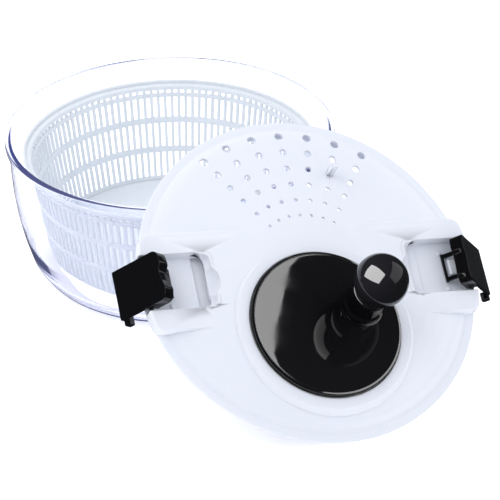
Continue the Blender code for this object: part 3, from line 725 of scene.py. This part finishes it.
    def fittings(self, shop: Workshop) -> list[bmesh.types.BMesh]:
        """Make the bosses, the lugs, the pocket shelves and the small pips of the shell."""
        parts = [shop.slab(shop.circle(7.2, 48), -6.2, 0.4),
                 shop.slab(shop.circle(7.2, 48, 0.0, self.crank_y), -4.0, 2.4)]
        for side in Side:
            s = side.value
            lug = [(s * x, y) for x, y in ((107.8, -6.0), (113.6, -6.0), (113.6, 6.0),
                                           (107.8, 6.0))]
            parts.append(shop.slab(lug, -1.5, 4.0, top=0.8))
            shelf = [(s * x, y) for x, y in ((76.0, -20.2), (85.2, -20.2), (85.2, 20.2),
                                             (76.0, 20.2))]
            parts.append(shop.slab(shelf, -1.4, 0.5, top=0.7, segments=3))
            for x, y in ((104.0, 12.6), (105.0, -15.4)):
                parts.append(shop.slab(shop.circle(1.7, 20, s * x, y), -1.4, 0.6, top=0.8))
        return parts

    def openings(self, shop: Workshop) -> bmesh.types.BMesh:
        """Make the tool that opens the drain holes, the bush bores and the hinge bores."""
        parts = []
        for distance, hole in self.drain_rows:
            for k in range(-self.drain_side, self.drain_side + 1):
                a = math.radians(self.drain_step) * k
                parts.append(shop.slab(shop.circle(hole, 28, distance * math.sin(a),
                                                   distance * math.cos(a)), -5.0, 20.0))
        for y in (0.0, self.crank_y):
            parts.append(shop.slab(shop.circle(self.bush_bore, 32, 0.0, y), -20.0, 20.0))
        for side in Side:
            bore = shop.slab(shop.circle(self.bar_bore, 20), -23.7, 23.7)
            turn = Matrix.Rotation(math.pi / 2, 4, "X")
            hinge = (side.value * self.hinge_x * MM, 0, self.hinge_height * MM)
            bore.transform(Matrix.Translation(hinge) @ turn)
            parts.append(bore)
            s = side.value
            sill = [(s * x, y) for x, y in ((125.4, -20.8), (140.0, -20.8), (140.0, 20.8),
                                            (125.4, 20.8))]
            parts.append(shop.slab(sill, -9.0, 1.0))
        return shop.join(parts)

    def build(self, shop: Workshop, place: LidPlace) -> None:
        """Make the shell."""
        solid = shop.cut(self.mass(shop, 0.0), self.mass(shop, self.shell), Operation.DIFFERENCE)
        for part in self.fittings(shop):
            solid = shop.cut(solid, part, Operation.UNION)
        solid = shop.cut(solid, self.openings(shop), Operation.DIFFERENCE)
        bmesh.ops.triangulate(solid, faces=[f for f in solid.faces if len(f.verts) > 4])
        shop.piece("lid_dome", solid, WHITE_LID, "lid", ["lid_shell"], place.lid,
                   sharp=20.0)
        for bush in ("shaft_bush", "crank_bush"):
            shop.dress(bush, ACETAL)


@dataclass
class Crank:
    """Dished crank disc with its knob's seat, ringed foot and ball, and the gear below."""

    radius: float = 54.9
    top: float = 13.6
    dish: float = 10.1
    seat: float = 16.0
    ball: float = 19.2
    ball_height: float = 52.0

    def build(self, shop: Workshop, place: LidPlace) -> None:
        """Make the disc, the knob's foot and the ball."""
        axis = place.spot("crank_spin") / MM
        knob = place.spot("knob_spin") / MM
        self.disc(shop, place, axis, knob)
        self.foot(shop, place, knob)
        self.knob(shop, place, knob)
        shop.dress("ring_gear", ACETAL)
        shop.dress("crank_bolt", STEEL)
        shop.dress("crank_washer", STEEL)
        shop.dress("knob_post", STEEL)

    def disc(self, shop: Workshop, place: LidPlace, axis: Vector, knob: Vector) -> None:
        """Spin the dished disc and raise the round seat for the knob."""
        bowl = [(r, self.dish + 2.7 * (r / 49.0) ** 2, 0) for r in range(0, 53, 4)]
        corners = bowl + [(52.6, 13.3, 0.3), (53.1, self.top + 0.1, 0.4),
                          (self.radius, self.top - 0.3, 1.0), (self.radius, 9.3, 0.5),
                          (7.0, 9.3, 0.5), (7.0, 2.9, 0.3), (0.0, 2.9, 0)]
        bm = shop.spun(shop.soften(corners, 5, closed=False), 160, axis.x, axis.y)
        seat = shop.slab(shop.circle(self.seat, 96, knob.x, knob.y), 9.8, 12.2, top=0.7)
        bm = shop.cut(bm, seat, Operation.UNION)
        hole = shop.slab(shop.circle(3.05, 24, knob.x, knob.y), 9.5, 30.0)
        bm = shop.cut(bm, hole, Operation.DIFFERENCE)
        bmesh.ops.triangulate(bm, faces=[f for f in bm.faces if len(f.verts) > 4])
        shop.piece("crank_dish", bm, BLACK_GLOSS, "crank", ["crank_disc"], place.lid,
                   sharp=20.0)

    def foot(self, shop: Workshop, place: LidPlace, knob: Vector) -> None:
        """Spin the ringed foot between the disc and the ball."""
        corners = [(3.05, 12.25, 0), (14.6, 12.25, 0.2), (14.6, 13.8, 0.9), (12.9, 16.2, 2.0),
                   (12.2, 22.0, 6.0), (12.0, 28.6, 2.0), (13.2, 29.8, 0.5), (13.5, 30.6, 0.5),
                   (13.5, 31.6, 0.5), (12.9, 32.1, 0.4), (13.3, 32.6, 0.4), (13.3, 33.2, 0.3),
                   (3.05, 33.2, 0)]
        bm = shop.spun(shop.soften(corners, 4), 96, knob.x, knob.y)
        shop.piece("knob_foot", bm, BLACK_GLOSS, "crank", ["knob_collar"], place.lid)

    def knob(self, shop: Workshop, place: LidPlace, knob: Vector) -> None:
        """Spin the ball with its small skirt."""
        low = 33.5
        start = math.asin((low + 5.4 - self.ball_height) / self.ball)
        corners = [(3.3, low, 0), (13.4, low, 0.3), (14.1, low + 0.7, 0.4),
                   (14.1, low + 1.5, 0.4), (13.5, low + 1.9, 0.3), (13.9, low + 2.4, 0.4),
                   (13.9, low + 3.4, 0.5), (13.2, low + 4.2, 0.8)]
        for i in range(33):
            a = start + (math.pi / 2 - start) * i / 32
            reach = self.ball * math.cos(a) if i < 32 else 0.0
            corners.append((reach, self.ball_height + self.ball * math.sin(a), 0))
        corners += [(0.0, 63.0, 0), (3.3, 63.0, 0)]
        bm = shop.spun(shop.soften(corners, 4), 128, knob.x, knob.y)
        shop.piece("ball_knob", bm, BLACK_GLOSS, "knob", ["knob"], place.lid)


@dataclass
class Latch:
    """Latch lever with a thick scalloped inner end, a hook below and a wire-like loop."""

    side: Side = Side.RIGHT
    outer: float = 7.3
    skin: float = 2.4
    half: float = 18.6
    inner: float = -19.5
    outward: float = 23.0
    loop: Point = (-9.6, -12.8)

    def plan(self) -> list[Point]:
        """Give the lever's plan: square outer corners and a wavy inner end."""
        h = self.half
        corners = [(self.outward, -h, 1.6), (self.outward, h, 1.2), (self.inner + 1.6, h, 7.5),
                   (self.inner, 8.5, 7.0), (self.inner + 2.4, 3.0, 7.0),
                   (self.inner + 1.2, -4.5, 7.0), (self.inner - 0.6, -10.5, 7.0),
                   (self.inner + 1.6, -h, 6.5)]
        return Workshop.soften(corners, 7)

    def lever(self, shop: Workshop) -> bmesh.types.BMesh:
        """Make the lever with its hollow under the skin."""
        low = self.outer - self.skin
        bm = shop.slab(self.plan(), -2.3, self.outer, top=0.7, bottom=0.6, segments=3)
        hollow = shop.slab([(self.inner + 7.0, -self.half + 2.4), (60, -self.half + 2.4),
                            (60, self.half - 2.4), (self.inner + 7.0, self.half - 2.4)],
                           -9.0, low)
        bm = shop.cut(bm, hollow, Operation.DIFFERENCE)
        step = shop.slab([(-3.2, -40), (70, -40), (70, 40), (-3.2, 40)], -8.0, low)
        return shop.cut(bm, step, Operation.DIFFERENCE)

    def along(self, shop: Workshop, outline: Sequence[Point], y0: float, y1: float,
              edge: float = 0.0) -> bmesh.types.BMesh:
        """Sweep a section across the lever's width."""
        bm = shop.slab(outline, -y1, -y0, top=edge, bottom=edge, segments=2)
        bm.transform(Matrix.Rotation(math.pi / 2, 4, "X"))
        return bm

    def build(self, shop: Workshop, place: LidPlace) -> None:
        """Make the latch and its hinge bar."""
        name = self.side.name.lower()
        under = self.outer - self.skin + 0.6
        bm = self.lever(shop)
        adds = [self.along(shop, shop.circle(2.5, 32), -17.4, 17.4, 0.4),
                self.along(shop, [(-2.0, 0.3), (2.0, 0.3), (2.0, under), (-2.0, under)],
                           -17.0, 17.0),
                self.along(shop, [(11.0, 2.4), (12.2, 1.4), (14.2, 1.4), (14.2, under),
                                  (11.0, under)], -12.0, 12.0, 0.3),
                self.along(shop, [(15.5, 1.6), (16.5, 1.0), (19.5, 1.0), (20.5, 1.6),
                                  (20.5, self.outer - 0.8), (15.5, self.outer - 0.8)],
                           -23.4, -17.0, 0.5)]
        for y in (-1, 1):
            y0, y1 = sorted((y * 7.5, y * 10.5))
            x, low = self.loop
            adds.append(self.along(shop, [(x - 1.1, low), (x + 1.1, low), (x + 1.1, under),
                                          (x - 1.1, under)], y0, y1, 0.3))
        adds.append(self.along(shop, shop.circle(1.2, 20, *self.loop), -10.9, 10.9, 0.3))
        for part in adds:
            bm = shop.cut(bm, part, Operation.UNION)
        bm = shop.cut(bm, self.along(shop, shop.circle(1.55, 24), -30.0, 30.0),
                      Operation.DIFFERENCE)
        bmesh.ops.triangulate(bm, faces=[f for f in bm.faces if len(f.verts) > 4])
        shop.piece("latch_lever_" + name, bm, BLACK_GLOSS, "latch_" + name, ["latch_" + name],
                   place.latch(self.side))
        bar = self.along(shop, shop.circle(1.5, 32), -23.4, 23.4, 0.3)
        shop.piece("hinge_bar_" + name, bar, STEEL, "latch_" + name, ["latch_bar_" + name],
                   place.latch(self.side))


@dataclass
class Drive:
    """Slotted plate below the lid, on the pinion's shaft, with lugs for the basket's rim."""

    radius: float = 110.5
    low: float = -11.0
    high: float = -8.4
    lugs: int = 6
    slots: int = 12
    slot_in: float = 34.0
    slot_out: float = 94.0
    slot_half: float = 3.0

    def build(self, shop: Workshop, place: LidPlace) -> None:
        """Make the plate and dress its shaft and fixings."""
        corners = [(3.05, self.low, 0), (34.0, self.low, 0), (self.radius, self.low, 0.7),
                   (self.radius, self.high, 0.7), (11.0, self.high, 1.5), (9.0, -6.5, 0.5),
                   (3.05, -6.5, 0)]
        bm = shop.spun(shop.soften(corners, 4), 192)
        for i in range(self.lugs):
            lug = shop.slab([(106.5, -5.0), (109.5, -5.0), (109.5, 5.0), (106.5, 5.0)], -18.6,
                            -10.0, bottom=0.8, segments=3)
            lug.transform(Matrix.Rotation(2 * math.pi * (i + 0.5) / self.lugs, 4, "Z"))
            bm = shop.cut(bm, lug, Operation.UNION)
        tools = []
        for i in range(self.slots):
            near, far, half, round_off = self.slot_in, self.slot_out, self.slot_half, 2.9
            outline = shop.soften([(near, -half, round_off), (far, -half, round_off),
                                   (far, half, round_off), (near, half, round_off)], 6)
            slot = shop.slab(outline, -20.0, 0.0)
            slot.transform(Matrix.Rotation(2 * math.pi * (i + 0.5) / self.slots, 4, "Z"))
            tools.append(slot)
        bm = shop.cut(bm, shop.join(tools), Operation.DIFFERENCE)
        bmesh.ops.triangulate(bm, faces=[f for f in bm.faces if len(f.verts) > 4])
        # The plate takes the clear bowl plastic, and with it the painted blue glow.
        shop.piece("drive_wheel", bm, CLEAR_BOWL, "drive", ["drive_plate"], place.lid)
        shop.dress("pinion", ACETAL)
        shop.dress("drive_washer", STEEL)
        shop.dress("drive_screw", STEEL)


@dataclass(frozen=True)
class Lamp:
    """A soft box that faces a point, in metres and watts.

    mirrors says whether shiny faces show it, and only names the one piece that it lights.
    """

    name: str
    place: tuple[float, float, float]
    aim: tuple[float, float, float]
    size: tuple[float, float]
    power: float
    mirrors: bool = True
    only: Optional[str] = None

    def build(self) -> None:
        """Add the lamp."""
        data = bpy.data.lights.new(self.name, "AREA")
        data.shape = "RECTANGLE"
        data.size, data.size_y = self.size
        data.energy = self.power
        light = bpy.data.objects.new(self.name, data)
        light.location = self.place
        way = Vector(self.aim) - Vector(self.place)
        light.rotation_euler = way.to_track_quat("-Z", "Y").to_euler()
        light.visible_glossy = self.mirrors
        bpy.context.scene.collection.objects.link(light)
        if self.only:
            light.light_linking.receiver_collection = bpy.data.collections.new(self.name)

    def limit(self) -> None:
        """Keep the lamp to its one piece, once that piece is made."""
        if self.only:
            bpy.data.collections[self.name].objects.link(bpy.data.objects[self.only])


LAMPS = (
    Lamp("key_box", (-0.5, -0.36, 0.98), (0.1, -0.2, 0.1), (1.1, 0.8), 5.4, mirrors=False),
    Lamp("knob_window", (-0.5, -0.68, 1.04), (0.1, -0.2, 0.12), (2.0, 1.3), 95.0,
         only="ball_knob"),
    Lamp("back_sheet", (-0.2, 1.3, 1.5), (0.0, 0.0, 0.05), (2.2, 1.2), 12.0, mirrors=False),
    Lamp("side_sheet", (1.55, -0.15, 0.92), (0.1, -0.15, 0.05), (2.6, 1.3), 9.0),
    # Nearer than side_sheet, so that the dish meets this one first.
    Lamp("dish_glint", (1.45, -0.15, 0.86), (0.1, -0.15, 0.05), (2.42, 1.21), 48.0,
         only="crank_dish"),
)


@dataclass
class Studio:
    """Pale floor, soft lights and the camera."""

    camera_place: tuple[float, float, float] = (0.059505, -1.618476, 0.96164)
    camera_down: float = 0.533592
    camera_roll: float = -0.01338
    lens: float = 173.405
    sky_lights: float = 0.63
    sky_mirrors: float = 0.05
    floor_half: float = 6.0
    floor_glow: float = 0.45

    def build(self) -> None:
        """Make the floor, the lights, the sky and the camera."""
        self.floor()
        self.sky()
        for lamp in LAMPS:
            lamp.build()
        self.camera()
        bpy.context.scene.view_settings.view_transform = "Standard"

    def floor(self) -> None:
        """Make the pale floor."""
        bm = bmesh.new()
        bmesh.ops.create_grid(bm, x_segments=1, y_segments=1, size=self.floor_half)
        mesh = bpy.data.meshes.new("floor")
        bm.to_mesh(mesh)
        bm.free()
        floor = bpy.data.objects.new("floor", mesh)
        bpy.context.scene.collection.objects.link(floor)
        material = bpy.data.materials.new("paper_sweep_white")
        material.use_nodes = True
        tree = material.node_tree
        tree.nodes.clear()
        shader = add_node(tree, "ShaderNodeBsdfPrincipled",
                          {"Base Color": linear("FBFBFB"), "Roughness": 0.9,
                           "Specular IOR Level": 0.1, "Emission Color": (1, 1, 1, 1),
                           "Emission Strength": self.floor_glow}, {})
        add_node(tree, "ShaderNodeOutputMaterial", {}, {"Surface": shader.outputs["BSDF"]})
        mesh.materials.append(material)
        floor.visible_glossy = False

    def sky(self) -> None:
        """Make an even sky that mirrors as a dim room, except inside the clear plastic."""
        world = bpy.data.worlds.new("studio")
        bpy.context.scene.world = world
        world.use_nodes = True
        tree = world.node_tree
        tree.nodes.clear()
        path = add_node(tree, "ShaderNodeLightPath", {}, {})
        soft = add_node(tree, "ShaderNodeMapRange", {"To Min": 1.0, "To Max": self.sky_lights},
                        {"Value": path.outputs["Is Diffuse Ray"]})
        outside = add_node(tree, "ShaderNodeMath", {"operation": "LESS_THAN"}, {})
        outside.inputs[1].default_value = 0.5
        tree.links.new(path.outputs["Transmission Depth"], outside.inputs[0])
        mirror = add_node(tree, "ShaderNodeMath", {"operation": "MULTIPLY"}, {})
        tree.links.new(path.outputs["Is Glossy Ray"], mirror.inputs[0])
        tree.links.new(outside.outputs["Value"], mirror.inputs[1])
        strength = add_node(tree, "ShaderNodeMapRange", {"To Max": self.sky_mirrors},
                            {"Value": mirror.outputs["Value"],
                             "To Min": soft.outputs["Result"]})
        sky = add_node(tree, "ShaderNodeBackground", {"Color": linear("F2F6FF")},
                       {"Strength": strength.outputs["Result"]})
        add_node(tree, "ShaderNodeOutputWorld", {}, {"Surface": sky.outputs["Background"]})

    def camera(self) -> None:
        """Add the camera, level but for a small roll."""
        data = bpy.data.cameras.new("camera")
        data.lens = self.lens
        data.sensor_width = 36.0
        data.clip_start = 0.05
        camera = bpy.data.objects.new("camera", data)
        down, roll = self.camera_down, self.camera_roll
        forward = Vector((0.0, math.cos(down), -math.sin(down)))
        side = Vector((1.0, 0.0, 0.0))
        up = side.cross(forward)
        right = side * math.cos(roll) + up * math.sin(roll)
        above = up * math.cos(roll) - side * math.sin(roll)
        turn = Matrix((right, above, -forward)).transposed().to_4x4()
        camera.matrix_world = Matrix.Translation(self.camera_place) @ turn
        bpy.context.scene.collection.objects.link(camera)
        bpy.context.scene.camera = camera


def main() -> None:
    """Build every sub-assembly in order."""
    logging.basicConfig(level=logging.INFO, format="%(name)s %(message)s")
    shop = Workshop()
    place = LidPlace()
    Studio().build()
    Bowl().build(shop)
    Basket().build(shop)
    shop.dress("pivot_sleeve", ACETAL)
    LidShell().build(shop, place)
    Crank().build(shop, place)
    Drive().build(shop, place)
    for side in Side:
        Latch(side=side).build(shop, place)
    for lamp in LAMPS:
        lamp.limit()


if __name__ == "__main__":
    main()
